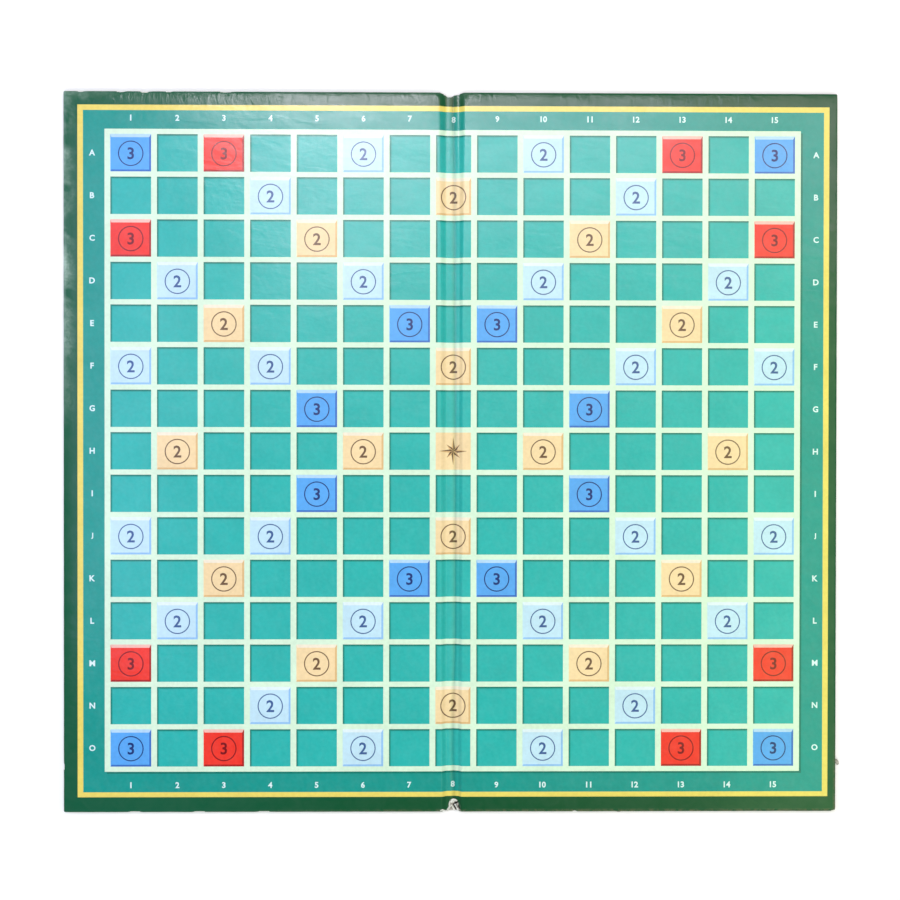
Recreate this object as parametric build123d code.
"""Folding board for a tile word game: two paper-wrapped greyboard panels on a paper-and-cloth hinge.

The board lies open and flat. +X runs across the fold to the right, +Y to the rear edge and +Z up.
The origin is on the resting plane, under the middle of the fold. All lengths are in millimetres.

The right half turns over onto the left about an axis along Y, at the height FOLD_AXIS_Z over the middle.
Between the halves the sheet and the cloth under it make two narrow leaves. Each leaf is creased to its own
half, and the two meet at the centre crease.

The printed sheet is one piece of paper on the real board. It is split here where it creases, because
each stretch between two creases turns with its own body. The hinge cloth is split in the same places.
"""

import os
from math import radians, sin

from build123d import *

# ---- driving dimensions ----

BOARD_WIDTH = 360.0  # across the fold, laid flat
BOARD_DEPTH = 335.0  # along the fold
CORE_THICKNESS = 2.25  # greyboard
SHEET_THICKNESS = 0.2  # printed and film-laminated paper
LINER_THICKNESS = 0.2  # back paper
CLOTH_THICKNESS = 0.3  # woven hinge cloth
CORNER_RADIUS = 1.0  # of the wrapped outer corners, seen from above

TURN_IN_WIDTH = 13.0  # sheet folded round onto the back
MITRE_GAP = 0.6  # between two turn-ins where they meet at a corner
LINER_EDGE_INSET = 3.5  # liner edge to the board's three outer edges
LINER_HINGE_INSET = 4.0  # liner edge to the panel's hinge edge
CLOTH_LAP = 12.0  # cloth glued under the panel, from its hinge edge inwards
CLOTH_END_CLEARANCE = 0.5  # cloth to the turn-ins at its two ends

SLOPE_RUN = 2.3  # how far the sheet runs out as it drops from a panel's top into the groove
SIDE_CREASE_FOLD = 36.0  # degrees that each leaf turns up from its own half when the board is shut
CLOSED_GAP = 0.4  # between the two playing faces when the board is shut
CREASE_GAP = 0.2  # bare line between two stretches of paper at a crease
END_NOTCH = 1.7  # how far the worn rear end of the spine is cut back at its middle

# ---- places that follow from them ----

FLAP_BOTTOM = LINER_THICKNESS
FLAP_TOP = FLAP_BOTTOM + SHEET_THICKNESS
CLOTH_TOP = LINER_THICKNESS + CLOTH_THICKNESS
CREASE_Z = CLOTH_TOP + SHEET_THICKNESS  # each side crease turns about the paper's upper surface
CORE_TOP = LINER_THICKNESS + CORE_THICKNESS
BOARD_TOP = CORE_TOP + SHEET_THICKNESS
FOLD_AXIS_Z = BOARD_TOP + CLOSED_GAP / 2  # the right half turns over onto the left about this height

# Shut, the two leaves make a V and meet at the height of the fold axis, so their width follows from the angle.
LEAF_WIDTH = (FOLD_AXIS_Z - CREASE_Z) / sin(radians(SIDE_CREASE_FOLD))
HINGE_EDGE = LEAF_WIDTH + SLOPE_RUN  # distance of each panel's inner edge from the middle
OUTER_EDGE = BOARD_WIDTH / 2
SLOPE_FOOT = LEAF_WIDTH + CREASE_GAP / 2
REAR_EDGE = BOARD_DEPTH / 2
CLOTH_END = REAR_EDGE - TURN_IN_WIDTH - CLOTH_END_CLEARANCE


def slab(x_low, x_high, y_reach, z_low, z_high):
    """A box between two planes of X, as deep to the front as to the rear."""
    size = (x_high - x_low, 2 * y_reach, z_high - z_low)
    return Pos((x_low + x_high) / 2, 0, (z_low + z_high) / 2) * Box(*size)


def plate(points, z_low, z_high):
    """A flat piece with this outline, seen from above."""
    return Pos(0, 0, z_low) * extrude(make_face(Polyline(*points, close=True)), z_high - z_low)


def panel_block(margin, z_low, z_high, radius):
    """The right panel's block, with its two outer corners rounded, set in by margin on its three outer sides."""
    block = slab(HINGE_EDGE, OUTER_EDGE - margin, REAR_EDGE - margin, z_low, z_high)
    outer_corners = block.edges().filter_by(Axis.Z).group_by(Axis.X)[-1]
    return fillet(outer_corners, radius)


def sheet_block():
    return panel_block(0, FLAP_BOTTOM, BOARD_TOP, CORNER_RADIUS)


def core_block():
    return panel_block(SHEET_THICKNESS, LINER_THICKNESS, CORE_TOP, CORNER_RADIUS - SHEET_THICKNESS)


def turn_ins():
    """The three flaps on the back, mitred where they meet at the outer corners."""
    inner_x, inner_y = OUTER_EDGE - TURN_IN_WIDTH, REAR_EDGE - TURN_IN_WIDTH
    outer_flap = plate(
        [
            (OUTER_EDGE, -REAR_EDGE),
            (OUTER_EDGE, REAR_EDGE),
            (inner_x, inner_y),
            (inner_x, -inner_y),
        ],
        FLAP_BOTTOM,
        FLAP_TOP,
    )
    end_flap = plate(
        [
            (OUTER_EDGE - MITRE_GAP, REAR_EDGE),
            (HINGE_EDGE, REAR_EDGE),
            (HINGE_EDGE, inner_y),
            (inner_x - MITRE_GAP, inner_y),
        ],
        FLAP_BOTTOM,
        FLAP_TOP,
    )
    return [outer_flap, end_flap, mirror(end_flap, about=Plane.XZ)]


def slope():
    """The sheet's run from the panel's top down to the side crease."""
    outline = Polyline(
        (HINGE_EDGE, 0, BOARD_TOP),
        (SLOPE_FOOT, 0, CREASE_Z),
        (SLOPE_FOOT, 0, CREASE_Z - SHEET_THICKNESS),
        (HINGE_EDGE, 0, CORE_TOP),
        close=True,
    )
    return extrude(make_face(outline), BOARD_DEPTH / 2, dir=(0, 1, 0), both=True)


def face_sheet():
    sheet = sheet_block() - core_block() + slope()
    for flap in turn_ins():
        sheet += flap & sheet_block()
    return sheet


def core_board():
    """The greyboard, pressed in where the turn-ins and the cloth lie under it."""
    core = core_block()
    inner_x, inner_y = OUTER_EDGE - TURN_IN_WIDTH, REAR_EDGE - TURN_IN_WIDTH
    band = slab(HINGE_EDGE, OUTER_EDGE, REAR_EDGE, FLAP_BOTTOM, FLAP_TOP)
    inside_band = slab(HINGE_EDGE, inner_x - MITRE_GAP, inner_y, FLAP_BOTTOM, FLAP_TOP)
    core -= band - inside_band
    return core - slab(HINGE_EDGE, HINGE_EDGE + CLOTH_LAP, CLOTH_END, LINER_THICKNESS, CLOTH_TOP)


def back_liner():
    reach = REAR_EDGE - LINER_EDGE_INSET
    return slab(HINGE_EDGE + LINER_HINGE_INSET, OUTER_EDGE - LINER_EDGE_INSET, reach, 0, LINER_THICKNESS)


def cloth_lap():
    return slab(SLOPE_FOOT, HINGE_EDGE + CLOTH_LAP, CLOTH_END, LINER_THICKNESS, CLOTH_TOP)


def leaf_cloth():
    return slab(CREASE_GAP / 2, LEAF_WIDTH - CREASE_GAP / 2, CLOTH_END, LINER_THICKNESS, CLOTH_TOP)


def leaf_paper():
    """The sheet between a side crease and the centre crease, with its two ends folded under."""
    x_low, x_high = CREASE_GAP / 2, LEAF_WIDTH - CREASE_GAP / 2
    paper = slab(x_low, x_high, REAR_EDGE, CLOTH_TOP, CREASE_Z)
    folded = slab(x_low, x_high, REAR_EDGE, CLOTH_TOP - SHEET_THICKNESS, CLOTH_TOP)
    paper += folded - slab(x_low, x_high, REAR_EDGE - TURN_IN_WIDTH, FLAP_BOTTOM, CLOTH_TOP)
    notch = [(0, REAR_EDGE - END_NOTCH), (LEAF_WIDTH, REAR_EDGE), (0, REAR_EDGE)]
    return paper - plate(notch, 0, BOARD_TOP)


PANEL_PIECES = {
    "core_board": core_board,
    "face_sheet": face_sheet,
    "back_liner": back_liner,
    "hinge_cloth_lap": cloth_lap,
}
SPINE_PIECES = {"paper": leaf_paper, "cloth": leaf_cloth}


def main():
    os.makedirs("parts", exist_ok=True)
    named = {f"{{side}}_{name}": make for name, make in PANEL_PIECES.items()}
    named |= {f"spine_{{side}}_{name}": make for name, make in SPINE_PIECES.items()}
    for pattern, make in named.items():
        right_piece = make()
        export_step(right_piece, f"parts/{pattern.format(side='right')}.step")
        left_piece = mirror(right_piece, about=Plane.YZ)
        export_step(left_piece, f"parts/{pattern.format(side='left')}.step")


main()
